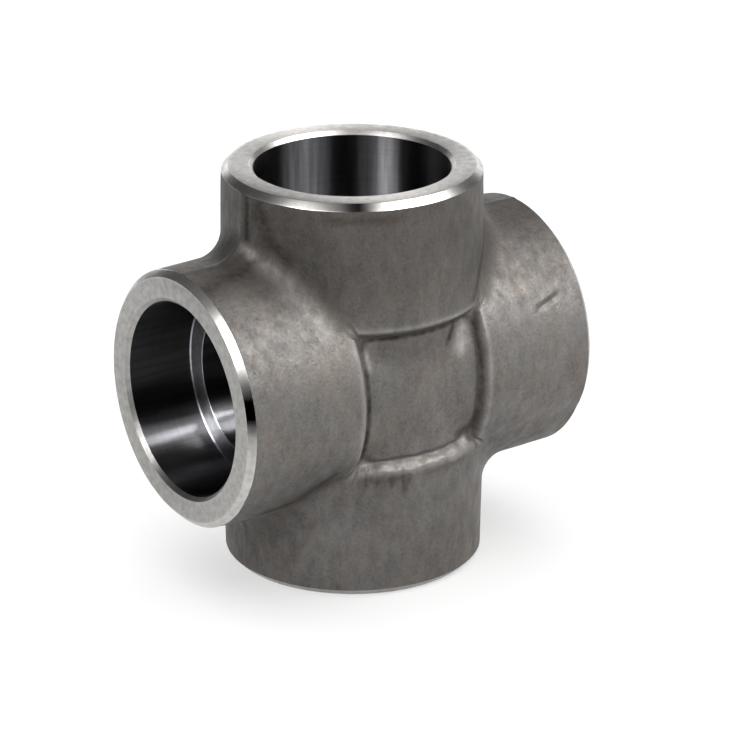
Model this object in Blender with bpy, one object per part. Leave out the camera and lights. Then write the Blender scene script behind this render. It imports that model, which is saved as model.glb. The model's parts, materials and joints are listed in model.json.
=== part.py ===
"""A forged steel pipe cross with four socket-weld ends, made of one piece.

The arms lie along +X, -X, +Z and -Z. Their axes cross at the origin, and the front looks along -Y.
One arm is made from lines that run from the saddle between two arms, over the collar, round the face and
down into the bore. Three quarter turns about Y give the other arms, and the seams between them are welded.
"""

import math

import bmesh
import bpy

# Driving dimensions, in metres

PIPE_DIAMETER = 0.0334
PIPE_WALL = 0.0034
SOCKET_PLAY = 0.0005
SOCKET_WALL = 0.0054
SOCKET_DEPTH = 0.013
CENTRE_TO_STOP = 0.0225
END_CHAMFER = 0.0011
MOUTH_CHAMFER = 0.0007
FORGING_DRAFT = math.radians(1.3)
CROTCH_FILLET = 0.005
CORE_HALF_WIDTH = 0.0115
RIM_STEP = 0.0014
RIM_WIDTH = 0.0016

# Sizes that follow from them

ARMS = 4
SOCKET_RADIUS = (PIPE_DIAMETER + SOCKET_PLAY) / 2
FLOW_RADIUS = PIPE_DIAMETER / 2 - PIPE_WALL
FACE_RADIUS = SOCKET_RADIUS + SOCKET_WALL
CENTRE_TO_FACE = CENTRE_TO_STOP + SOCKET_DEPTH
CHAMFER_HEIGHT = CENTRE_TO_FACE - END_CHAMFER
DRAFT_SLOPE = math.tan(FORGING_DRAFT)
COLLAR_RADIUS = FACE_RADIUS + (CENTRE_TO_FACE - CORE_HALF_WIDTH) * DRAFT_SLOPE
CORE_RADIUS = COLLAR_RADIUS - RIM_STEP

# The crotch fillet leaves at least a fifth of the arm's free length straight

LARGEST_FILLET = 0.8 * (CHAMFER_HEIGHT - COLLAR_RADIUS)
FILLET_RADIUS = min(CROTCH_FILLET, LARGEST_FILLET)
FILLET_REACH = FILLET_RADIUS * math.sin(math.pi / 4)

# How finely the surface is divided

CROTCH_STEPS = 9
CORE_STEPS = 5
RIM_STEPS = 4
FILLET_STEPS = 2
SEARCH_STEPS = 48
WELD_DISTANCE = 0.000001
SHARP_ANGLE = math.radians(32)


def clear_scene():
    """Removes every object that is in the file already."""
    for thing in list(bpy.data.objects):
        bpy.data.objects.remove(thing, do_unlink=True)


def metal(name, colour, roughness, metallic):
    """A metal finish."""
    material = bpy.data.materials.new(name)
    material.use_nodes = True
    shader = material.node_tree.nodes["Principled BSDF"]
    shader.inputs["Base Color"].default_value = (*colour, 1.0)
    shader.inputs["Roughness"].default_value = roughness
    shader.inputs["Metallic"].default_value = metallic
    return material


def arm_radius(along):
    """Outside radius of an arm, at a distance along its axis from the centre.

    The collar widens towards the centre by the forging draft, and its rim drops in a soft step to the core.
    """
    collar = FACE_RADIUS + (CENTRE_TO_FACE - along) * DRAFT_SLOPE
    rise = min(max((along - CORE_HALF_WIDTH) / RIM_WIDTH, 0.0), 1.0)
    rise = rise * rise * (3.0 - 2.0 * rise)
    return CORE_RADIUS + (collar - CORE_RADIUS) * rise


def skin_offset(x, y, z):
    """How far a point lies outside the forged skin, or inside it where the value is below zero.

    The upright and the level arms are joined by a fillet. It has its full radius in the crotch, where their
    surfaces cross at a right angle, and it fades out on the front and back, where they run into one another.
    """
    upright = math.hypot(x, y)
    level = math.hypot(z, y)
    from_upright = upright - arm_radius(abs(z))
    from_level = level - arm_radius(abs(x))
    fillet = FILLET_RADIUS * (1.0 - y * y / (upright * level))
    nearest = max(fillet, min(from_upright, from_level))
    return nearest - math.hypot(max(fillet - from_upright, 0.0), max(fillet - from_level, 0.0))


def crossing(offset_at):
    """The distance at which offset_at turns from inside to outside."""
    inside = CORE_RADIUS / 2
    outside = FACE_RADIUS * 2
    for _ in range(SEARCH_STEPS):
        middle = (inside + outside) / 2
        if offset_at(middle) < 0.0:
            inside = middle
        else:
            outside = middle
    return (inside + outside) / 2


def core_depth(x, z):
    """How far the core's skin stands from the plane of the four axes, at a place seen from the front."""
    return crossing(lambda y: skin_offset(x, y, z))


def skin_radius(azimuth, height):
    """Radius of the upright arm's skin at an azimuth round its axis and a height above the centre."""
    across = math.cos(azimuth)
    depth = math.sin(azimuth)
    return crossing(lambda r: skin_offset(r * across, r * depth, height))


def seam_height(azimuth):
    """Height at which the upright arm meets its neighbour's skin, on the diagonal between the two."""
    across = abs(math.cos(azimuth))
    depth = math.sin(azimuth)
    return across * crossing(lambda r: skin_offset(r * across, r * depth, r * across))


def core_places():
    """Where the lines of the arms cross the core, from its middle to its edge."""
    return [CORE_HALF_WIDTH * step / CORE_STEPS for step in range(CORE_STEPS + 1)]


def azimuths():
    """Azimuths of an arm's lines, once round. 0 is in a crotch, and a quarter turn is at the back."""
    at_core = [math.atan2(core_depth(x, CORE_HALF_WIDTH), x) for x in core_places()]
    corner = at_core[-1]
    quarter = [corner * step / CROTCH_STEPS for step in range(CROTCH_STEPS)]
    quarter += reversed(at_core[1:])
    half = quarter + [math.pi / 2] + [math.pi - azimuth for azimuth in reversed(quarter[1:])]
    return half + [azimuth + math.pi for azimuth in half]


def skin_heights(azimuth):
    """Heights of the stations on an arm's outside: over the rim, on to the end of the fillet, then the collar."""
    foot = max(CORE_HALF_WIDTH, seam_height(azimuth))
    rest = max(FILLET_REACH - RIM_WIDTH, RIM_WIDTH)
    rim = [foot + RIM_WIDTH * step / RIM_STEPS for step in range(RIM_STEPS + 1)]
    blend = [rim[-1] + rest * step / FILLET_STEPS for step in range(1, FILLET_STEPS + 1)]
    return rim + blend + [CHAMFER_HEIGHT]


def bore_profile():
    """Radius and height of the machined corners, from the rim of the face to the foot of the socket."""
    return [
        (FACE_RADIUS - END_CHAMFER, CENTRE_TO_FACE),
        (SOCKET_RADIUS + MOUTH_CHAMFER, CENTRE_TO_FACE),
        (SOCKET_RADIUS, CENTRE_TO_FACE - MOUTH_CHAMFER),
        (SOCKET_RADIUS, CENTRE_TO_STOP),
        (FLOW_RADIUS, CENTRE_TO_STOP),
    ]


def arm_line(azimuth):
    """Points of one line over the upper arm, as radius and height, and how many of them are forged skin."""
    skin = [(skin_radius(azimuth, height), height) for height in skin_heights(azimuth)]
    bore_seam = (FLOW_RADIUS, FLOW_RADIUS * abs(math.cos(azimuth)))
    return skin + bore_profile() + [bore_seam], len(skin)


def add_arm(bm):
    """The upper arm, open along its seams."""
    lines = []
    for azimuth in azimuths():
        points, skin_count = arm_line(azimuth)
        across = math.cos(azimuth)
        depth = math.sin(azimuth)
        lines.append([bm.verts.new((r * across, r * depth, height)) for r, height in points])
    for line, following in zip(lines, lines[1:] + lines[:1]):
        for k in range(len(line) - 1):
            face = bm.faces.new((line[k], following[k], following[k + 1], line[k + 1]))
            face.material_index = 0 if k < skin_count - 1 else 1


def repeat_arm(bm):
    """Three more arms, each a quarter turn about Y from the one before."""
    bmesh.ops.spin(
        bm,
        geom=bm.verts[:] + bm.edges[:] + bm.faces[:],
        cent=(0.0, 0.0, 0.0),
        axis=(0.0, 1.0, 0.0),
        angle=math.tau * (ARMS - 1) / ARMS,
        steps=ARMS - 1,
        use_duplicate=True,
    )


def add_core(bm, side):
    """The field of the core between the four rims, on the front for side -1 or the back for side 1.

    Its cells are split towards the middle, so that the valley from each corner runs straight.
    """
    places = core_places()
    places = [-place for place in reversed(places[1:])] + places
    grid = [[bm.verts.new((x, side * core_depth(x, z), z)) for x in places] for z in places]
    for i in range(2 * CORE_STEPS):
        for k in range(2 * CORE_STEPS):
            near, far = (grid[i][k], grid[i + 1][k + 1]), (grid[i][k + 1], grid[i + 1][k])
            if (i < CORE_STEPS) != (k < CORE_STEPS):
                near, far = far, near
            bm.faces.new((near[0], far[0], near[1]))
            bm.faces.new((near[0], near[1], far[1]))


def make_cross():
    """The whole forging, with its sockets and bores machined."""
    bm = bmesh.new()
    add_arm(bm)
    repeat_arm(bm)
    add_core(bm, -1)
    add_core(bm, 1)
    bmesh.ops.remove_doubles(bm, verts=bm.verts, dist=WELD_DISTANCE)
    bmesh.ops.recalc_face_normals(bm, faces=bm.faces)
    mesh = bpy.data.meshes.new("cross_body")
    bm.to_mesh(mesh)
    bm.free()
    mesh.shade_smooth()
    mesh.set_sharp_from_angle(angle=SHARP_ANGLE)
    mesh.materials.append(metal("forged_skin", (0.165, 0.155, 0.145), 0.5, 0.8))
    mesh.materials.append(metal("machined_steel", (0.42, 0.41, 0.4), 0.28, 1.0))
    cross = bpy.data.objects.new("cross_body", mesh)
    bpy.context.scene.collection.objects.link(cross)
    return cross


clear_scene()
make_cross()
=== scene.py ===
"""Looks of a forged steel pipe cross with four socket-weld ends.

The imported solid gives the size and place. A finer mesh of the same form replaces it: the forged skin with
its soft waves, parting line and nick, and the machined faces, sockets and bores with rounded edges.
"""

import json
import math

import bmesh
import bpy
import numpy as np
from mathutils import Matrix, Vector, noise


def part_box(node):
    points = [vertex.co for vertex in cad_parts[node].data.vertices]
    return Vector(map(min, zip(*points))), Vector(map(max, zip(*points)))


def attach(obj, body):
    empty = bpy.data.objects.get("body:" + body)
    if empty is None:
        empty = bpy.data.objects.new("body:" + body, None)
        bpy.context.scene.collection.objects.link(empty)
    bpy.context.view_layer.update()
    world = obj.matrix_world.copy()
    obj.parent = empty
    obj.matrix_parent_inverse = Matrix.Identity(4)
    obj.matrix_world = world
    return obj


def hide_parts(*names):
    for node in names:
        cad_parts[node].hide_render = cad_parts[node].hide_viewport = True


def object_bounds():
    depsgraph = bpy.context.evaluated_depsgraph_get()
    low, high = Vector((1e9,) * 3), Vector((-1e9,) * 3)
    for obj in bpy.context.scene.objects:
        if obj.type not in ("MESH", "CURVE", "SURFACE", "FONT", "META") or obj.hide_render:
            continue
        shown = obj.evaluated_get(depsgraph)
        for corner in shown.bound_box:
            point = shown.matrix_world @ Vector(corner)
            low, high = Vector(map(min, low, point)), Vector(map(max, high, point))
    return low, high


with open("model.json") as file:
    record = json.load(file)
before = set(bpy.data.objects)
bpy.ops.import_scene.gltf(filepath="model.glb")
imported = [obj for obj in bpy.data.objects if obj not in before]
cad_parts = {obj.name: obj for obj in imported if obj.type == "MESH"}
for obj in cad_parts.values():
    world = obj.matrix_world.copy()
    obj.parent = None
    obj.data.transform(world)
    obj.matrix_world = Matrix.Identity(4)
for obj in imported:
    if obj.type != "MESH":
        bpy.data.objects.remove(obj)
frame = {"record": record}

CAD_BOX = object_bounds()
NODE = "cross_body"
MOUNTS = {mount["name"]: mount for mount in frame["record"]["mounts"]}

# Sizes of the fitting, in metres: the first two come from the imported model, the rest repeat its design

CENTRE_TO_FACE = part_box(NODE)[1].z
CENTRE_TO_STOP = MOUNTS["upper_stop"]["pos_m"][2]
PIPE_DIAMETER = 0.0334
PIPE_WALL = 0.0034
SOCKET_PLAY = 0.0005
SOCKET_WALL = 0.0054
END_CHAMFER = 0.0011
MOUTH_CHAMFER = 0.0007
FORGING_DRAFT = math.radians(1.3)
FILLET_RADIUS = 0.005
CORE_HALF_WIDTH = 0.0115
RIM_STEP = 0.0014
RIM_WIDTH = 0.0016

SOCKET_RADIUS = (PIPE_DIAMETER + SOCKET_PLAY) / 2
FLOW_RADIUS = PIPE_DIAMETER / 2 - PIPE_WALL
FACE_RADIUS = SOCKET_RADIUS + SOCKET_WALL
CHAMFER_HEIGHT = CENTRE_TO_FACE - END_CHAMFER
DRAFT_SLOPE = math.tan(FORGING_DRAFT)
COLLAR_RADIUS = FACE_RADIUS + (CENTRE_TO_FACE - CORE_HALF_WIDTH) * DRAFT_SLOPE
CORE_RADIUS = COLLAR_RADIUS - RIM_STEP
FILLET_REACH = FILLET_RADIUS * math.sin(math.pi / 4)

# Roundings of the machined edges, from the outer edge of the face to the edge of the flow bore

EDGE_ZONE = 0.0005
OUTER_EDGE = 0.0003
FACE_EDGE = 0.00015
MOUTH_EDGE = 0.0001
STOP_CORNER = 0.0003
FLOW_EDGE = 0.00015

# How finely the surface is divided

CROTCH_STEPS = 30
CROTCH_CROWDING = 0.45
CORE_STEPS = 28
CORE_CROWDING = 1.5
RIM_STEPS = 12
FILLET_STEPS = 10
COLLAR_STEPS = 36
ROUND_STEPS = 3
FLOW_STEPS = 3
SEARCH_STEPS = 40
GRADIENT_STEP = 0.00001
WELD_DISTANCE = 0.000001
SHARP_ANGLE = math.radians(40)

# How far apart the arms lie in the space of their textures

PLACE_STEP = 3.0 * CENTRE_TO_FACE

# Relief of the forged skin, in metres

WAVES = ((0.011, 0.00009), (0.0042, 0.00004))
FLASH_HEIGHT = 0.00012
FLASH_HALF_WIDTH = 0.0006
FLASH_IN_CROTCH = 0.00035
FLASH_WANDER = 0.0003
CROTCH_LENGTH = 0.003
DENTS = 26
DENT_SIZES = (0.0008, 0.0022)
DENT_DEPTHS = (0.00004, 0.00014)
NICK_START = np.array([0.0247, -0.0202, 0.0093])
NICK_END = np.array([0.0300, -0.0190, 0.0113])
NICK_HALF_WIDTH = 0.0005
NICK_DEPTH = 0.0003
NICK_LIP = 0.00018
NICK_REACH = 0.0045
LOWER_RIM_SHIFT = 0.0006
RIM_SHIFT_REACH = 0.0035
GROOVE_DEPTH = 0.00026
GROOVE_HALF_WIDTH = 0.00045
CORNER_SHARPNESS = 9.0
RIM_BAND_WIDTH = 0.0006

# Marks on the skin, in millimetres: how wide, how strong, and the line that each follows. The dark marks are
# mostly painted shade, with some soot and drips; the pale marks are mostly painted highlights and painted
# light.

DIRT_AND_PAINTED_SHADE = (
    # Painted shade on the left of the upper arm and along the crotch below it, where the metal faces the left
    # arm
    (0.7, 1.0, ((-22.3, -1.5, 34.2), (-22.4, -1.6, 26.4))),
    (2.4, 0.75, ((-21.9, -4.6, 32.5), (-21.3, -7.0, 27.8), (-20.2, -10.2, 25.0))),
    (1.7, 0.45, ((-18.6, -13.3, 21.8), (-16.8, -15.9, 18.8), (-14.8, -18.0, 15.6))),
    # Painted shade at the top of the front field, under the upper rim
    (3.5, 0.27, ((-8.0, -20.0, 8.6), (0.0, -21.5, 8.8), (5.0, -20.9, 8.4))),
    # Painted shade on the upper and left arm, round the crotch between them
    (5.0, 0.4, ((-20.2, -9.0, 32.0), (-19.2, -11.4, 27.0), (-17.6, -14.0, 22.5))),
    (1.6, 0.85, ((-25.0, -4.5, 22.6), (-22.9, -8.2, 21.6), (-22.0, -10.4, 20.6))),
    (2.0, 0.75, ((-34.0, -6.5, 21.5), (-29.5, -5.0, 21.9), (-24.0, -4.8, 22.9))),
    # Painted shade in the valley between the upper and right arm
    (0.9, 0.7, ((20.0, -11.0, 29.0), (16.8, -15.2, 22.6), (14.0, -17.9, 18.5), (11.8, -19.5, 14.4))),
    # Painted shade in the grooves at the top, left and right of the field, and in its right corners
    (0.42, 1.0, (
        (-10.8, -18.6, 11.2), (-6.0, -20.6, 11.2), (0.0, -21.5, 11.2),
        (6.0, -20.6, 11.2), (10.8, -18.6, 11.1),
    )),
    (0.42, 1.0, (
        (-11.1, -18.6, 10.8), (-11.2, -20.6, 6.0), (-11.2, -21.5, 0.0),
        (-11.2, -20.6, -6.0), (-11.1, -18.6, -10.8),
    )),
    (1.0, 0.72, (
        (11.6, -18.8, 10.6), (11.8, -20.9, 5.4), (11.9, -21.7, 0.0),
        (11.8, -20.9, -6.0), (11.6, -19.2, -9.6),
    )),
    (0.75, 1.0, ((7.0, -20.5, 11.4), (5.4, -20.9, 8.4))),
    (1.0, 0.8, ((11.4, -19.6, -9.0), (8.3, -20.0, -10.2))),
    # Darker marks under the lower rim, and painted shade in the valley between the left and lower arm
    (0.9, 0.5, ((-10.8, -20.4, -13.7), (-7.9, -21.5, -14.2), (-4.6, -22.3, -14.1))),
    (0.7, 0.45, ((-0.5, -22.6, -14.0), (4.2, -22.2, -14.1), (8.2, -20.9, -14.1))),
    (1.5, 0.85, ((-27.2, -13.6, -17.8), (-23.1, -15.1, -16.9), (-20.4, -17.5, -14.2), (-16.9, -19.1, -12.5))),
    (0.8, 0.7, ((-16.9, -18.6, -13.2), (-11.8, -18.7, -11.7))),
    # Drips below the lower rim
    (0.35, 0.8, ((-10.9, -20.0, -13.0), (-10.9, -20.0, -15.1))),
    (0.4, 0.75, ((-9.4, -20.8, -13.0), (-9.3, -20.8, -14.8))),
    (0.4, 0.9, ((-6.7, -21.8, -13.2), (-6.7, -21.8, -15.3))),
    (0.4, 0.9, ((-4.7, -22.3, -13.0), (-4.5, -22.3, -16.3))),
    (0.3, 0.7, ((-3.5, -22.5, -13.6), (-3.5, -22.5, -15.2))),
    # Below the face of the upper arm
    (0.8, 0.5, ((-15.2, -16.5, 32.6), (-11.3, -19.3, 32.9), (-6.0, -21.5, 32.6))),
)
# Paler lines and patches on the skin, mostly painted highlights and painted light
BARE_AND_PAINTED_LIGHT = (
    # Painted highlights on the nub and along the upper left crotch, where the fillet faces the lamps
    (0.9, 0.8, ((-23.1, -1.6, 25.3), (-23.0, -4.0, 24.6))),
    (2.0, 0.3, ((-22.5, -7.0, 23.4), (-20.9, -11.7, 20.6), (-18.6, -15.4, 17.2), (-17.1, -17.3, 15.0))),
    # Pale patches at the upper corners of the field
    (1.2, 1.0, ((8.9, -19.8, 9.6), (8.0, -20.5, 6.4))),
    (0.6, 0.5, ((-10.7, -19.6, 9.2), (-10.6, -20.3, 6.6))),
    # Painted highlights along the lower rim's edge, which faces up to the lamps
    (1.0, 0.38, ((-10.9, -18.9, -11.8), (-7.3, -20.6, -12.4), (-1.8, -21.8, -12.4), (3.7, -21.7, -12.3))),
    (0.8, 0.4, ((3.7, -21.7, -12.3), (8.0, -20.6, -12.2))),
    (0.9, 1.0, ((9.9, -19.4, -12.0), (9.0, -19.9, -12.2))),
    # Painted light lifting the shaded left of the lower arm, and broad painted highlights on the right arm
    (5.0, 0.12, ((-18.0, -12.5, -27.0), (-16.0, -15.0, -21.0))),
    (4.0, 0.15, ((15.5, -18.0, 11.5), (22.0, -19.5, 9.0), (31.0, -19.5, 8.5))),
    (8.0, 0.1, ((27.0, -19.0, -9.0), (19.0, -20.0, -8.0), (26.0, -20.0, 4.0))),
    # A painted highlight along the crest of the upper rim
    (0.45, 0.6, ((2.5, -22.6, 13.3), (5.5, -22.1, 13.2), (8.6, -21.0, 13.0))),
)

# Painted reflections on the machined metal of the upper, right, lower and left arm: a plain brightness, which
# paints whole arms lighter or darker, and stripes along the arm's axis that are added to it, which paint the
# lamps' bright reflections and the dark ones between them. A stripe has an azimuth round that axis, a half
# width in degrees, and a strength, which is below zero for a dark stripe.

FACE_PAINTED_REFLECTIONS = (
    (1.15, ((55.0, 45.0, 0.8), (-124.0, 30.0, 0.6))),
    (0.9, ()),
    (0.6, ()),
    (0.8, ()),
)
CHAMFER_PAINTED_REFLECTIONS = (
    (1.1, ((-122.0, 6.0, -1.15), (-103.0, 13.0, 0.8), (-144.0, 12.0, 0.5), (-170.0, 20.0, 0.4))),
    (1.0, ()),
    (0.7, ()),
    (1.1, ((-76.0, 13.0, -1.3), (-54.0, 12.0, 1.1), (-12.0, 20.0, 1.0))),
)
BORE_PAINTED_REFLECTIONS = (
    (0.2, ((41.0, 15.0, 0.85), (87.0, 12.0, 0.35), (65.0, 9.0, 0.1), (-8.0, 14.0, 1.2), (112.0, 12.0, -0.1))),
    (0.3, ((60.0, 20.0, 0.4), (-120.0, 15.0, 0.5))),
    (0.3, ((-60.0, 20.0, 0.4), (150.0, 15.0, 0.5))),
    (0.32, (
        (133.0, 7.0, 1.4), (165.0, 7.0, 1.6), (149.0, 6.0, 0.35), (178.0, 6.0, 0.3), (-100.0, 20.0, 0.3),
    )),
)

# The flow bores follow the sockets' painted reflections with more contrast. The stops' painted highlights are
# alike on every arm.

FLOW_SHADE = 0.2
FLOW_GAIN = 1.9
DARKEST_FLOW = 0.05
STOP_CORNER_PAINTED_HIGHLIGHT = (1.3, ((84.0, 18.0, 2.5), (132.0, 18.0, 5.0)))
STOP_PAINTED_HIGHLIGHT = (0.9, ((138.0, 22.0, 1.6),))
STOP_EDGE_PAINTED_HIGHLIGHT = (2.2, ((142.0, 20.0, 4.0),))

# Material slots of the mesh

SKIN, TURNED, BORED = range(3)


def arm_radius(along):
    """Outside radius of an arm at distances along its axis from the centre."""
    collar = FACE_RADIUS + (CENTRE_TO_FACE - along) * DRAFT_SLOPE
    rise = np.clip((along - CORE_HALF_WIDTH) / RIM_WIDTH, 0.0, 1.0)
    rise = rise * rise * (3.0 - 2.0 * rise)
    return CORE_RADIUS + (collar - CORE_RADIUS) * rise


def skin_offset(x, y, z):
    """How far points lie outside the forged skin. The crotch fillet fades on the front and back."""
    upright = np.hypot(x, y)
    level = np.hypot(z, y)
    from_upright = upright - arm_radius(np.abs(z))
    from_level = level - arm_radius(np.abs(x))
    fillet = FILLET_RADIUS * (1.0 - y * y / (upright * level))
    nearest = np.maximum(fillet, np.minimum(from_upright, from_level))
    corner = np.hypot(np.maximum(fillet - from_upright, 0.0), np.maximum(fillet - from_level, 0.0))
    return nearest - corner


def skin_normals(points):
    """Directions in which the skin's offset grows fastest."""
    slopes = []
    for axis in np.eye(3) * GRADIENT_STEP:
        slopes.append(skin_offset(*(points + axis).T) - skin_offset(*(points - axis).T))
    normals = np.stack(slopes, axis=-1)
    return normals / np.linalg.norm(normals, axis=1, keepdims=True)


def crossing(offset_at, shape):
    """The distances at which offset_at turns from inside to outside."""
    inside = np.full(shape, CORE_RADIUS / 2)
    outside = np.full(shape, FACE_RADIUS * 2)
    for _ in range(SEARCH_STEPS):
        middle = (inside + outside) / 2
        within = offset_at(middle) < 0.0
        inside = np.where(within, middle, inside)
        outside = np.where(within, outside, middle)
    return (inside + outside) / 2


def core_depth(x, z):
    """How far the core's skin stands from the plane of the axes."""
    return crossing(lambda y: skin_offset(x, y, z), np.shape(x))


def core_places():
    """Where the arms' lines cross the core, from its middle to its edge, closer together at the edge."""
    share = np.arange(CORE_STEPS + 1) / CORE_STEPS
    return CORE_HALF_WIDTH * (1.0 - (1.0 - share) ** CORE_CROWDING)


def azimuths():
    """Azimuths of an arm's lines, once round from a crotch, closer together in the crotches."""
    x = core_places()
    at_core = np.arctan2(core_depth(x, np.full_like(x, CORE_HALF_WIDTH)), x)
    share = np.arange(CROTCH_STEPS + 1) / CROTCH_STEPS
    crotch = at_core[-1] * share * (1.0 - CROTCH_CROWDING * (1.0 - share))
    quarter = np.concatenate([crotch, at_core[-2:0:-1]])
    half = np.concatenate([quarter, [math.pi / 2], math.pi - quarter[:0:-1]])
    return np.concatenate([half, half + math.pi])


def rounded(corners):
    """A profile through corners (radius, height, rounding), with each corner turned into an arc."""
    points = []
    for before, corner, after in zip(corners, corners[1:], corners[2:]):
        here = Vector(corner[:2])
        back = (Vector(before[:2]) - here).normalized()
        ahead = (Vector(after[:2]) - here).normalized()
        half_angle = back.angle(ahead) / 2
        run = corner[2] / math.tan(half_angle)
        centre = here + (back + ahead).normalized() * corner[2] / math.sin(half_angle)
        start = here + back * run - centre
        turn = start.angle_signed(here + ahead * run - centre)
        for step in range(ROUND_STEPS + 1):
            points.append(centre + Matrix.Rotation(-turn * step / ROUND_STEPS, 2) @ start)
    return np.array(points)


def skin_grid(azimuth):
    """Radius and height of the stations on the forged skin of the upper arm, for each azimuth."""
    across = np.abs(np.cos(azimuth))
    depth = np.sin(azimuth)
    seam = across * crossing(lambda r: skin_offset(r * across, r * depth, r * across), azimuth.shape)
    foot = np.maximum(CORE_HALF_WIDTH, seam)[:, None]
    rim = foot + RIM_WIDTH * np.arange(RIM_STEPS + 1) / RIM_STEPS
    blend = rim[:, -1:] + (FILLET_REACH - RIM_WIDTH) * np.arange(1, FILLET_STEPS + 1) / FILLET_STEPS
    share = np.arange(1, COLLAR_STEPS + 1) / COLLAR_STEPS
    collar = blend[:, -1:] + (CHAMFER_HEIGHT - EDGE_ZONE - blend[:, -1:]) * share
    height = np.concatenate([rim, blend, collar], axis=1)
    x = np.cos(azimuth)[:, None]
    y = depth[:, None]
    return crossing(lambda r: skin_offset(r * x, r * y, height), height.shape), height


def turned_profile():
    """The machined profile from the chamfer's outer edge, over the face and the stop, to the flow bore."""
    start = CHAMFER_HEIGHT - EDGE_ZONE
    return rounded([
        (arm_radius(start), start),
        (arm_radius(CHAMFER_HEIGHT), CHAMFER_HEIGHT, OUTER_EDGE),
        (FACE_RADIUS - END_CHAMFER, CENTRE_TO_FACE, FACE_EDGE),
        (SOCKET_RADIUS + MOUTH_CHAMFER, CENTRE_TO_FACE, MOUTH_EDGE),
        (SOCKET_RADIUS, CENTRE_TO_FACE - MOUTH_CHAMFER, MOUTH_EDGE),
        (SOCKET_RADIUS, CENTRE_TO_STOP, STOP_CORNER),
        (FLOW_RADIUS, CENTRE_TO_STOP, FLOW_EDGE),
        (FLOW_RADIUS, CENTRE_TO_STOP - EDGE_ZONE),
    ])


def arm_stations(azimuth):
    """The upper arm's stations: radius, height, path along the profile, share of relief, and lean of relief.

    The relief of the skin fades out on the chamfer. There it leans from the skin's normal into the chamfer.
    """
    skin_r, skin_h = skin_grid(azimuth)
    lines, skin_count = skin_r.shape
    profile = turned_profile()
    turned_r, turned_h = (np.repeat(part[None, :], lines, axis=0) for part in profile.T)
    seam_h = FLOW_RADIUS * np.abs(np.cos(azimuth))[:, None]
    share = np.arange(1, FLOW_STEPS + 1) / FLOW_STEPS
    flow_h = turned_h[:, -1:] + (seam_h - turned_h[:, -1:]) * share
    radius = np.concatenate([skin_r, turned_r, np.full_like(flow_h, FLOW_RADIUS)], axis=1)
    height = np.concatenate([skin_h, turned_h, flow_h], axis=1)
    steps = np.hypot(np.diff(radius, axis=1), np.diff(height, axis=1))
    path = np.concatenate([np.zeros((lines, 1)), np.cumsum(steps, axis=1)], axis=1)
    path -= path[:, skin_count:skin_count + 1]
    relief = np.zeros(radius.shape)
    relief[:, :skin_count + ROUND_STEPS + 1] = 1.0
    lean = np.zeros(radius.shape)
    lean[:, skin_count:skin_count + ROUND_STEPS + 1] = np.arange(ROUND_STEPS + 1) / ROUND_STEPS
    slots = np.full(radius.shape[1] - 1, TURNED)
    slots[:skin_count + 1] = SKIN
    slots[skin_count + 3 * (ROUND_STEPS + 1) + 1:] = BORED
    return radius, height, path, relief, lean, slots


class Surface:
    """Points and faces of the mesh, with what each point or face corner carries."""

    def __init__(self):
        self.points, self.relief, self.lean, self.axis = [], [], [], []
        self.faces, self.slots = [], []
        self.groove, self.path, self.place, self.tone = [], [], [], []
        self.count = 0

    def add(self, points, faces, slots, relief, lean, axis, groove, path, place, tone):
        self.faces.append(faces + self.count)
        self.slots.append(slots)
        self.points.append(points)
        self.relief.append(relief)
        self.lean.append(lean)
        self.axis.append(np.tile(axis, (len(points), 1)))
        corners = faces.ravel()
        self.groove.append(groove[corners])
        self.path.append(path[corners])
        self.place.append(place[corners])
        self.tone.append(tone[corners])
        self.count += len(points)


def grid_faces(rows, columns, closed):
    """Four corners for each cell of a grid of points; a closed grid joins its last row to its first."""
    i = np.arange(rows if closed else rows - 1)[:, None]
    k = np.arange(columns - 1)[None, :]
    following = (i + 1) % rows
    cells = [i * columns + k, following * columns + k, following * columns + k + 1, i * columns + k + 1]
    return np.stack(np.broadcast_arrays(*cells), axis=-1).reshape(-1, 4)


def striped(azimuth, tone):
    """A brightness at each azimuth: its plain value with its stripes added, which paint reflections."""
    plain, stripes = tone
    total = np.full(len(azimuth), plain)
    for centre, width, strength in stripes:
        away = (np.degrees(azimuth) - centre + 180.0) % 360.0 - 180.0
        total += strength * np.exp(-((away / width) ** 2))
    return np.maximum(total, 0.0)[:, None]


def machined_painted_reflections(quarter, azimuth, stations, bored):
    """Painted reflections and highlights on each arm's machined metal: its chamfer, face, socket, stop and
    flow bore.
    """
    arc = ROUND_STEPS + 1
    tone = np.empty((len(azimuth), stations))
    bore = striped(azimuth, BORE_PAINTED_REFLECTIONS[quarter])
    tone[:, :bored] = striped(azimuth, FACE_PAINTED_REFLECTIONS[quarter])
    tone[:, :bored - 2 * arc] = striped(azimuth, CHAMFER_PAINTED_REFLECTIONS[quarter])
    tone[:, bored:] = bore
    tone[:, bored + arc:bored + 2 * arc - 2] = striped(azimuth, STOP_CORNER_PAINTED_HIGHLIGHT)
    tone[:, bored + 2 * arc - 2:bored + 2 * arc] = striped(azimuth, STOP_PAINTED_HIGHLIGHT)
    tone[:, bored + 2 * arc:bored + 3 * arc - 2] = striped(azimuth, STOP_EDGE_PAINTED_HIGHLIGHT)
    tone[:, bored + 3 * arc - 2:] = np.maximum((bore - FLOW_SHADE) * FLOW_GAIN, DARKEST_FLOW)
    return tone.ravel()


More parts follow.
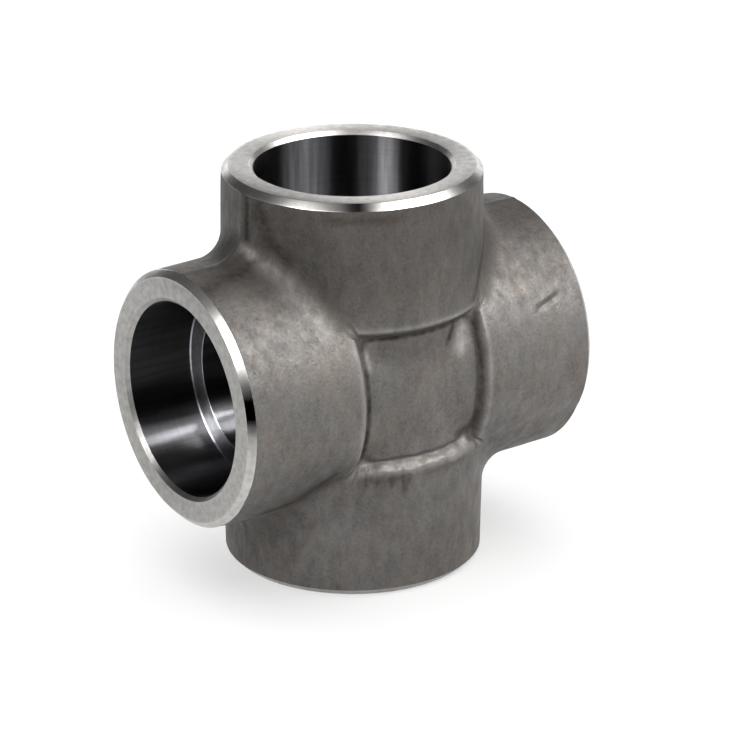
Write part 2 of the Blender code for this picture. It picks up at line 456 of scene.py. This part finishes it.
def add_arms(surface):
    """Four arms, each a quarter turn about Y from the one before."""
    azimuth = azimuths()
    radius, height, path, relief, lean, slots = arm_stations(azimuth)
    lines, stations = radius.shape
    across = np.cos(azimuth)[:, None]
    depth = np.sin(azimuth)[:, None]
    upper = np.stack([radius * across, radius * depth, height], axis=-1).reshape(-1, 3)
    around = np.stack(np.broadcast_arrays(-depth, across, 0.0 * radius), axis=-1).reshape(-1, 3)
    faces = grid_faces(lines, stations, True)
    bored = np.flatnonzero(slots == BORED)[0]
    for quarter in range(4):
        turn = np.array(Matrix.Rotation(quarter * math.pi / 2, 3, "Y")).T
        axis = np.array([0.0, 0.0, 1.0]) @ turn
        place = upper + np.array([0.0, 0.0, quarter * PLACE_STEP])
        surface.add(
            upper @ turn, faces, np.tile(slots, lines), relief.ravel(), lean.ravel(), axis,
            around @ turn, path.ravel(), place, machined_painted_reflections(quarter, azimuth, stations, bored),
        )


def add_core(surface):
    """The fields of the core between the four rims, on the front and the back."""
    place = core_places()
    place = np.concatenate([-place[:0:-1], place])
    z, x = np.meshgrid(place, place, indexing="ij")
    depth = core_depth(x, z)
    faces = grid_faces(len(place), len(place), False)
    for side in (-1, 1):
        points = np.stack([x, side * depth, z], axis=-1).reshape(-1, 3)
        still = np.zeros(len(points))
        across = np.tile([1.0, 0.0, 0.0], (len(points), 1))
        axis = np.array([0.0, 0.0, 1.0])
        slots = np.full(len(faces), SKIN)
        surface.add(points, faces, slots, still + 1.0, still, axis, across, still, points, still)


def lumps(points, size, seed):
    """Smooth noise at each point, about -0.7 to 0.7, with lumps of a size."""
    shift = Vector((7.3, 3.1, 5.7)) * seed
    return np.array([noise.noise(Vector(point) / size + shift) for point in points])


def flash_height(points):
    """Height of the trimmed flash: a low band where the dies met, and a higher stub in each crotch."""
    x, y, z = points.T
    band = np.exp(-(((y + lumps(points, 0.009, 3) * FLASH_WANDER) / FLASH_HALF_WIDTH) ** 4))
    crotch = np.exp(-(((np.abs(x) - np.abs(z)) / CROTCH_LENGTH) ** 2))
    height = FLASH_HEIGHT + FLASH_IN_CROTCH * crotch
    return band * height * (1.0 + 0.8 * lumps(points, 0.004, 4))


def dent_depth(points):
    """Depth of small round dents, scattered over the collars."""
    draw = np.random.RandomState(11)
    depth = np.zeros(len(points))
    for _ in range(DENTS):
        turn = np.array(Matrix.Rotation(draw.randint(4) * math.pi / 2, 3, "Y")).T
        azimuth = draw.uniform(0.0, math.tau)
        height = draw.uniform(CORE_HALF_WIDTH + RIM_WIDTH, CHAMFER_HEIGHT)
        size = draw.uniform(*DENT_SIZES)
        deep = draw.uniform(*DENT_DEPTHS)
        x, y = math.cos(azimuth) * COLLAR_RADIUS, math.sin(azimuth) * COLLAR_RADIUS
        centre = np.array([x, y, height]) @ turn
        depth += deep * np.exp(-((points - centre) ** 2).sum(axis=1) / size ** 2)
    return depth


def nick_height(points):
    """The slanting nick on the front of the right arm: a groove with a raised lip below it."""
    middle = (NICK_START + NICK_END) / 2
    half = (NICK_END - NICK_START) / 2
    half_length = np.linalg.norm(half)
    along = half / half_length
    outward = skin_normals(middle[None, :])[0]
    beside = np.cross(outward, along)
    beside /= np.linalg.norm(beside)
    offset = points - middle
    run = offset @ along / half_length
    side = offset @ beside / NICK_HALF_WIDTH + 0.35 * np.sin(run * 2.2)
    near = np.exp(-run ** 4) * (offset @ outward > -NICK_REACH)
    lip = NICK_LIP * np.exp(-(side - 2.0) ** 2)
    return near * (lip - NICK_DEPTH * np.exp(-side ** 2) * (1.0 - 0.25 * run))


def field_edge(points):
    """How far points lie beyond the edge of the field between the rims, which has rounded corners."""
    x, y, z = np.abs(points.T)
    reach = (x ** CORNER_SHARPNESS + z ** CORNER_SHARPNESS) ** (1.0 / CORNER_SHARPNESS)
    return reach - CORE_HALF_WIDTH, np.clip(y / CORE_RADIUS * 4.0 - 2.4, 0.0, 1.0)


def skin_relief(points):
    """Height of the relief over the plain skin, kept inside the model's box."""
    height = flash_height(points) - dent_depth(points) + nick_height(points)
    beyond, outside = field_edge(points)
    height -= outside * GROOVE_DEPTH * np.exp(-((beyond / GROOVE_HALF_WIDTH) ** 2))
    for seed, (size, amplitude) in enumerate(WAVES):
        height += amplitude * lumps(points, size, seed)
    room = CAD_BOX[1].y - np.abs(points[:, 1])
    return np.minimum(height, room)


def rim_shift(points):
    """How far the front rims slide: the lower rim lies a little closer to the middle, with a wavy edge."""
    x, y, z = points.T
    near = np.exp(-(((z + CORE_HALF_WIDTH + RIM_WIDTH / 2) / RIM_SHIFT_REACH) ** 2))
    front = np.clip(-y / CORE_RADIUS * 2.0 - 1.0, 0.0, 1.0)
    wave = 1.0 + 0.7 * lumps(points, 0.0022, 8)
    return near * front * LOWER_RIM_SHIFT * wave


def along_lines(points, marks):
    """How strongly points are marked by lines that fade out sideways, with ragged edges."""
    points = points * 1000.0
    ragged = 1.0 + 0.5 * lumps(points, 1.1, 6) + 0.4 * lumps(points, 0.5, 7)
    strongest = np.zeros(len(points))
    for width, strength, line in marks:
        for start, end in zip(line, line[1:]):
            start, end = np.array(start), np.array(end)
            share = np.clip((points - start) @ (end - start) / ((end - start) @ (end - start)), 0.0, 1.0)
            away = np.linalg.norm(points - start - share[:, None] * (end - start), axis=1)
            strongest = np.maximum(strongest, strength * np.exp(-((away / width) ** 2)))
    return np.clip(strongest * ragged, 0.0, 1.0)


def wear_grime_and_painted_light(points):
    """How worn the skin is on the rims' edges, plus painted highlights and painted light; and painted shade
    in the crotches and at the rims' feet, plus the dark marks' soot and painted shade.
    """
    x, y, z = np.abs(points.T)
    upright = np.hypot(x, y) - arm_radius(z)
    level = np.hypot(z, y) - arm_radius(x)
    across = np.clip(1.6 - 2.0 * y / CORE_RADIUS, 0.0, 1.0)
    # Painted shade in the crotches
    crotch = across * np.clip(1.0 - np.maximum(upright, level) / FILLET_RADIUS, 0.0, 1.0)
    along = np.maximum(x, z)
    top = np.exp(-(((along - CORE_HALF_WIDTH - RIM_WIDTH) / RIM_BAND_WIDTH) ** 2))
    beyond, outside = field_edge(points)
    # Painted shade in the grooves at the feet of the rims
    foot = np.exp(-(((beyond - 0.0001) / RIM_BAND_WIDTH) ** 2))
    bare_and_lit = along_lines(points, BARE_AND_PAINTED_LIGHT)
    wear_and_painted_light = np.maximum(0.45 * top * outside, bare_and_lit)
    grime_and_painted_shade = np.maximum(0.4 * crotch, 0.55 * foot * outside) * (1.0 - bare_and_lit)
    return wear_and_painted_light, np.maximum(grime_and_painted_shade, along_lines(points, DIRT_AND_PAINTED_SHADE))


def set_attribute(mesh, name, kind, domain, values):
    """Stores numbers or vectors on the mesh."""
    attribute = mesh.attributes.new(name, kind, domain)
    key = "value" if kind == "FLOAT" else "vector"
    attribute.data.foreach_set(key, np.concatenate(values).astype(np.float32).ravel())


def get_attribute(mesh, name, width):
    """Reads numbers or vectors back from the mesh."""
    data = mesh.attributes[name].data
    values = np.empty(len(data) * width, np.float32)
    data.foreach_get("value" if width == 1 else "vector", values)
    return values.reshape(-1, width)


def refine_nick(bm):
    """Divides the faces near the nick more finely."""
    middle = Vector((NICK_START + NICK_END) / 2)
    faces = [face for face in bm.faces if (face.calc_center_median() - middle).length < NICK_REACH]
    edges = list({edge for face in faces for edge in face.edges})
    bmesh.ops.subdivide_edges(bm, edges=edges, cuts=2, use_grid_fill=True)


def build_mesh():
    """The whole fitting as one closed mesh."""
    surface = Surface()
    add_arms(surface)
    add_core(surface)
    mesh = bpy.data.meshes.new("cross_forging")
    mesh.from_pydata(np.concatenate(surface.points).tolist(), [], np.concatenate(surface.faces).tolist())
    mesh.polygons.foreach_set("material_index", np.concatenate(surface.slots).astype(np.int32))
    set_attribute(mesh, "relief", "FLOAT", "POINT", surface.relief)
    set_attribute(mesh, "lean", "FLOAT", "POINT", surface.lean)
    set_attribute(mesh, "axis", "FLOAT_VECTOR", "POINT", surface.axis)
    set_attribute(mesh, "groove", "FLOAT_VECTOR", "CORNER", surface.groove)
    set_attribute(mesh, "path", "FLOAT", "CORNER", surface.path)
    set_attribute(mesh, "place", "FLOAT_VECTOR", "CORNER", surface.place)
    set_attribute(mesh, "tone", "FLOAT", "CORNER", surface.tone)
    bm = bmesh.new()
    bm.from_mesh(mesh)
    bmesh.ops.remove_doubles(bm, verts=bm.verts, dist=WELD_DISTANCE)
    bmesh.ops.recalc_face_normals(bm, faces=bm.faces)
    refine_nick(bm)
    bm.to_mesh(mesh)
    bm.free()
    points = np.empty(len(mesh.vertices) * 3, np.float32)
    mesh.vertices.foreach_get("co", points)
    points = points.reshape(-1, 3).astype(float)
    relief = get_attribute(mesh, "relief", 1)[:, 0]
    lean = get_attribute(mesh, "lean", 1)
    axis = get_attribute(mesh, "axis", 3)
    skin = relief > 0.5
    wear_and_painted_light, grime_and_painted_shade = np.zeros(len(points)), np.zeros(len(points))
    wear_and_painted_light[skin], grime_and_painted_shade[skin] = wear_grime_and_painted_light(points[skin])
    height = skin_relief(points[skin])[:, None]
    shift = rim_shift(points[skin])
    points[skin] += height * (skin_normals(points[skin]) - lean[skin] * axis[skin])
    points[skin, 2] += shift
    mesh.vertices.foreach_set("co", points.astype(np.float32).ravel())
    set_attribute(mesh, "wear_and_painted_light", "FLOAT", "POINT", [wear_and_painted_light])
    set_attribute(mesh, "grime_and_painted_shade", "FLOAT", "POINT", [grime_and_painted_shade])
    for name in ("relief", "lean", "axis"):
        mesh.attributes.remove(mesh.attributes[name])
    mesh.shade_smooth()
    mesh.set_sharp_from_angle(angle=SHARP_ANGLE)
    return mesh


class Material:
    """A material, and short ways to add nodes to it."""

    def __init__(self, name):
        self.material = bpy.data.materials.new(name)
        self.material.use_nodes = True
        self.tree = self.material.node_tree
        self.shader = self.tree.nodes["Principled BSDF"]

    def put(self, socket, value):
        if isinstance(value, bpy.types.NodeSocket):
            self.tree.links.new(value, socket)
        else:
            socket.default_value = value

    def add(self, kind, inputs, output=0, **settings):
        node = self.tree.nodes.new("ShaderNode" + kind)
        for name, value in settings.items():
            setattr(node, name, value)
        for key, value in inputs.items():
            self.put(node.inputs[key], value)
        return node.outputs[output]

    def set(self, **inputs):
        for name, value in inputs.items():
            self.put(self.shader.inputs[name.replace("_", " ")], value)

    def math(self, operation, first, second=0.0):
        return self.add("Math", {0: first, 1: second}, operation=operation)

    def attribute(self, name, output="Fac"):
        return self.add("Attribute", {}, output, attribute_name=name)

    def millimetres(self, vector, stretch=(1.0, 1.0, 1.0)):
        scale = [1000.0 * part for part in stretch]
        return self.add("VectorMath", {0: vector, 1: scale}, operation="MULTIPLY")

    def noise(self, vector, size, detail=2.0, roughness=0.5):
        inputs = {"Vector": vector, "Scale": 1.0 / size, "Detail": detail, "Roughness": roughness}
        return self.add("TexNoise", inputs)

    def spread(self, value, low, high, to_low=0.0, to_high=1.0):
        inputs = {"Value": value, "From Min": low, "From Max": high, "To Min": to_low, "To Max": to_high}
        return self.add("MapRange", inputs)

    def grey(self, value):
        return self.add("CombineColor", {0: value, 1: value, 2: value})

    def mix(self, factor, first, second, blend="MIX"):
        node = self.tree.nodes.new("ShaderNodeMix")
        node.data_type = "RGBA"
        node.blend_type = blend
        self.put(node.inputs[0], factor)
        self.put(node.inputs[6], first)
        self.put(node.inputs[7], second)
        return node.outputs[2]

    def bump(self, height, strength=1.0):
        """Turns a height in millimetres into a normal."""
        inputs = {"Strength": strength, "Distance": 0.001, "Height": height}
        return self.add("Bump", inputs)


def forged_skin():
    """Shot-blasted forging skin: dull and mottled, dark with soot and painted shade, and paler where it is
    rubbed bare and where highlights and light are painted.

    It is browner towards the top and darker there, a painted shade, and a little darker at the foot.
    """
    m = Material("forged_skin")
    place = m.add("TexCoord", {}, "Object")
    even = m.millimetres(place)
    drawn = m.millimetres(place, (1.0, 1.0, 0.45))
    blotch = m.noise(even, 13.0, 3.0)
    mottle = m.noise(drawn, 1.9, 5.0, 0.62)
    grain = m.noise(even, 0.5, 3.0, 0.65)
    pits = m.spread(m.noise(even, 0.9, 2.0, 0.5), 0.62, 0.72)
    tone = m.math("ADD", m.spread(blotch, 0.3, 0.7, 0.86, 1.12), m.spread(mottle, 0.3, 0.7, -0.16, 0.16))
    tone = m.math("ADD", tone, m.spread(grain, 0.3, 0.7, -0.18, 0.18))
    tone = m.math("SUBTRACT", tone, m.math("MULTIPLY", pits, 0.14))
    grey = (0.12, 0.114, 0.108, 1.0)
    brown = (0.1215, 0.1085, 0.098, 1.0)
    # A dark colour for soot and for painted shade, and a pale one for bare metal and for painted highlights
    soot_and_shade_colour = (0.022, 0.017, 0.013, 1.0)
    rubbed_and_lit = (0.29, 0.278, 0.265, 1.0)
    above = m.add("SeparateXYZ", {0: even}, 2)
    tint = m.math("ADD", m.spread(m.noise(even, 6.0, 3.0), 0.42, 0.62), m.spread(above, 8.0, 18.0, 0.0, 0.3))
    colour = m.mix(tint, grey, brown)
    # Painted shade: darker towards the top of the upper arm
    tone = m.math("MULTIPLY", tone, m.spread(above, 9.0, 20.0, 1.0, 0.66))
    tone = m.math("MULTIPLY", tone, m.spread(above, -14.0, -11.0, 0.86, 1.0))
    colour = m.mix(1.0, colour, m.grey(tone), "MULTIPLY")
    # Soot and painted shade in the crotches, grooves and valleys
    soot_and_shade = m.math("MULTIPLY", m.attribute("grime_and_painted_shade"), m.spread(mottle, 0.25, 0.65, 0.7, 1.0))
    colour = m.mix(soot_and_shade, colour, soot_and_shade_colour)
    # Rubbed bare edges, with painted highlights and painted light
    worn_and_lit = m.math("MULTIPLY", m.attribute("wear_and_painted_light"), m.spread(mottle, 0.35, 0.6, 0.6, 1.0))
    colour = m.mix(worn_and_lit, colour, rubbed_and_lit)
    height = m.math("ADD", m.math("MULTIPLY", mottle, 0.08), m.math("MULTIPLY", grain, 0.055))
    height = m.math("SUBTRACT", height, m.math("MULTIPLY", pits, 0.03))
    rough = m.math("ADD", m.spread(mottle, 0.3, 0.7, 0.68, 0.5), m.math("MULTIPLY", soot_and_shade, 0.25))
    m.set(Base_Color=colour, Metallic=0.6, Roughness=rough, Normal=m.bump(height))
    return m.material


def turned_steel():
    """Faces and chamfers from the lathe, with faint rings and painted reflections. The chamfers are smoother
    than the faces.
    """
    m = Material("turned_steel")
    place = m.millimetres(m.attribute("place", "Vector"))
    parts = m.add("SeparateXYZ", {0: place}, 2)
    flat = m.add("VectorMath", {0: place, 1: (1.0, 1.0, 0.0)}, operation="MULTIPLY")
    radius = m.add("VectorMath", {0: flat}, "Value", operation="LENGTH")
    rings = m.noise(m.add("CombineXYZ", {0: radius, 1: parts, 2: 0.0}), 0.22, 2.0)
    mottle = m.noise(place, 1.3, 4.0, 0.6)
    tone = m.math("ADD", m.spread(rings, 0.3, 0.7, 0.92, 1.08), m.spread(mottle, 0.3, 0.7, -0.16, 0.16))
    # Painted reflections: the brightness is multiplied by stripes painted round each arm
    tone = m.math("MULTIPLY", tone, m.attribute("tone"))
    colour = m.mix(1.0, (0.43, 0.418, 0.402, 1.0), m.grey(tone), "MULTIPLY")
    face = m.spread(m.attribute("path"), 0.0019, 0.0023)
    rough = m.math("MULTIPLY", mottle, m.spread(face, 0.0, 1.0, 0.006, 0.02))
    height = m.math("ADD", m.math("MULTIPLY", rings, 0.012), rough)
    dull = m.math("ADD", m.spread(face, 0.0, 1.0, 0.36, 0.44), m.spread(mottle, 0.3, 0.7, 0.04, -0.04))
    m.set(
        Base_Color=colour, Metallic=1.0, Roughness=dull, Normal=m.bump(height),
        Anisotropic=0.6, Anisotropic_Rotation=0.25, Tangent=m.attribute("groove", "Vector"),
    )
    return m.material


def bored_steel():
    """Bored sockets and flow bores: glossy, with the light drawn out along the axis, and painted reflections
    in stripes.
    """
    m = Material("bored_steel")
    place = m.attribute("place", "Vector")
    streak = m.noise(m.millimetres(place, (1.0, 1.0, 0.06)), 1.1, 3.0, 0.6)
    rings = m.noise(m.millimetres(place, (0.02, 0.02, 1.0)), 0.35, 2.0)
    tone = m.math("ADD", m.spread(streak, 0.3, 0.7, 0.82, 1.12), m.spread(rings, 0.3, 0.7, -0.06, 0.06))
    # Painted reflections: the brightness is multiplied by stripes painted round each bore
    tone = m.math("MULTIPLY", tone, m.attribute("tone"))
    colour = m.mix(1.0, (0.18, 0.18, 0.19, 1.0), m.grey(tone), "MULTIPLY")
    m.set(
        Base_Color=colour, Metallic=1.0, Roughness=m.spread(streak, 0.3, 0.7, 0.28, 0.36),
        Normal=m.bump(m.math("MULTIPLY", rings, 0.006)),
        Anisotropic=1.0, Anisotropic_Rotation=0.25, Tangent=m.attribute("groove", "Vector"),
    )
    return m.material


def pale_paper():
    """Matt white paper for the floor."""
    m = Material("pale_paper")
    m.set(Base_Color=(0.9, 0.9, 0.9, 1.0), Roughness=0.9)
    return m.material


mesh = build_mesh()
for finish in (forged_skin(), turned_steel(), bored_steel()):
    mesh.materials.append(finish)
cross = bpy.data.objects.new("cross_forging", mesh)
bpy.context.scene.collection.objects.link(cross)
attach(cross, "root")
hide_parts(NODE)


# Camera: the angles and distance of the photograph, with square pixels

AZIMUTH = math.radians(-34.5)
ELEVATION = math.radians(21.6)
ROLL = math.radians(0.05)
DISTANCE = 0.69
FRAME_PIXELS = 730
PIXELS_PER_RADIUS = 128.85
CENTRE_PIXEL = (352.6, 356.4)
SENSOR = 36.0
CLIP = (0.01, 100.0)

# Lights: name, azimuth, elevation, width and height in degrees, radiance

LIGHT_DISTANCE = 3.0
OBJECT_LIGHTS = (
    ("key_right", 33, 44.5, 54, 18, 18.4),
    ("key_side", 75, 62, 14, 14, 16.0),
    ("fill_left", -80, 35, 22, 20, 14.5),
    ("fill_front", -52, 35, 16, 20, 2.4),
    ("back_wall", 146, 10, 60, 18, 2.4),
)
FLOOR_LIGHT = ("over_floor", 0, 90, 80, 80, 1.75)
SHADE_LIGHT = ("floor_shade", 0, 90, 130, 130, 0.42)
FLOOR_SIZE = 2.4


def direction(azimuth, elevation):
    """Unit vector from the object towards an azimuth, 0 being the front, and an elevation."""
    flat = math.cos(elevation)
    return Vector((math.sin(azimuth) * flat, -math.cos(azimuth) * flat, math.sin(elevation)))


def make_camera():
    """A camera at the photograph's viewing angle and distance."""
    data = bpy.data.cameras.new("camera")
    camera = bpy.data.objects.new("camera", data)
    bpy.context.scene.collection.objects.link(camera)
    back = direction(AZIMUTH, ELEVATION)
    metres_per_pixel = FACE_RADIUS / PIXELS_PER_RADIUS
    data.sensor_width = SENSOR
    data.lens = DISTANCE / metres_per_pixel / FRAME_PIXELS * SENSOR
    turn = (-back).to_track_quat("-Z", "Y").to_matrix()
    aside = (FRAME_PIXELS / 2 - CENTRE_PIXEL[0]) * metres_per_pixel
    above = (CENTRE_PIXEL[1] - FRAME_PIXELS / 2) * metres_per_pixel
    place = back * DISTANCE + turn @ Vector((aside, above, 0.0))
    roll = Matrix.Rotation(-ROLL, 3, "Z")
    camera.matrix_world = Matrix.Translation(place) @ (turn @ roll).to_4x4()
    data.clip_start, data.clip_end = CLIP
    bpy.context.scene.camera = camera


def soft_box(lit, name, azimuth, elevation, width, height, radiance, shadows=True):
    """A soft light that faces the object and lights one thing only.

    Its place, width and height are angles in degrees, as the object sees it.
    """
    data = bpy.data.lights.new(name, "AREA")
    data.shape = "RECTANGLE"
    data.size = 2.0 * LIGHT_DISTANCE * math.tan(math.radians(width / 2))
    data.size_y = 2.0 * LIGHT_DISTANCE * math.tan(math.radians(height / 2))
    data.energy = math.pi * data.size * data.size_y * radiance
    light = bpy.data.objects.new(name, data)
    bpy.context.scene.collection.objects.link(light)
    back = direction(math.radians(azimuth), math.radians(elevation))
    light.location = back * LIGHT_DISTANCE
    light.visible_camera = False
    linked = bpy.data.collections.new(name)
    linked.objects.link(lit)
    light.light_linking.receiver_collection = linked
    if not shadows:
        light.light_linking.blocker_collection = linked
    light.rotation_mode = "QUATERNION"
    light.rotation_quaternion = (-back).to_track_quat("-Z", "Y")


def make_floor():
    """A pale floor, which the lower arm stands on."""
    bpy.ops.mesh.primitive_plane_add(size=FLOOR_SIZE, location=(0.0, 0.0, -CENTRE_TO_FACE))
    floor = bpy.context.active_object
    floor.name = "floor"
    floor.data.materials.append(pale_paper())
    return floor


def make_world():
    """A pale room: it shows as white behind the floor, and as dark in the metal."""
    world = bpy.data.worlds.new("studio")
    bpy.context.scene.world = world
    world.use_nodes = True
    nodes = world.node_tree.nodes
    links = world.node_tree.links
    room = nodes["Background"]
    room.inputs["Color"].default_value = (1.0, 1.0, 1.0, 1.0)
    room.inputs["Strength"].default_value = 0.15
    shown = room.outputs[0]
    ray = nodes.new("ShaderNodeLightPath")
    for kind, colour, strength in (
        ("Is Glossy Ray", (0.95, 0.95, 1.0, 1.0), 0.05),
        ("Is Camera Ray", (1.0, 1.0, 1.0, 1.0), 1.0),
    ):
        part = nodes.new("ShaderNodeBackground")
        part.inputs["Color"].default_value = colour
        part.inputs["Strength"].default_value = strength
        mix = nodes.new("ShaderNodeMixShader")
        links.new(ray.outputs[kind], mix.inputs[0])
        links.new(shown, mix.inputs[1])
        links.new(part.outputs[0], mix.inputs[2])
        shown = mix.outputs[0]
    links.new(shown, nodes["World Output"].inputs["Surface"])


make_camera()
make_world()
floor = make_floor()
for light in OBJECT_LIGHTS:
    soft_box(cross, *light)
soft_box(floor, *FLOOR_LIGHT, shadows=False)
soft_box(floor, *SHADE_LIGHT)
bpy.context.scene.view_settings.view_transform = "Standard"
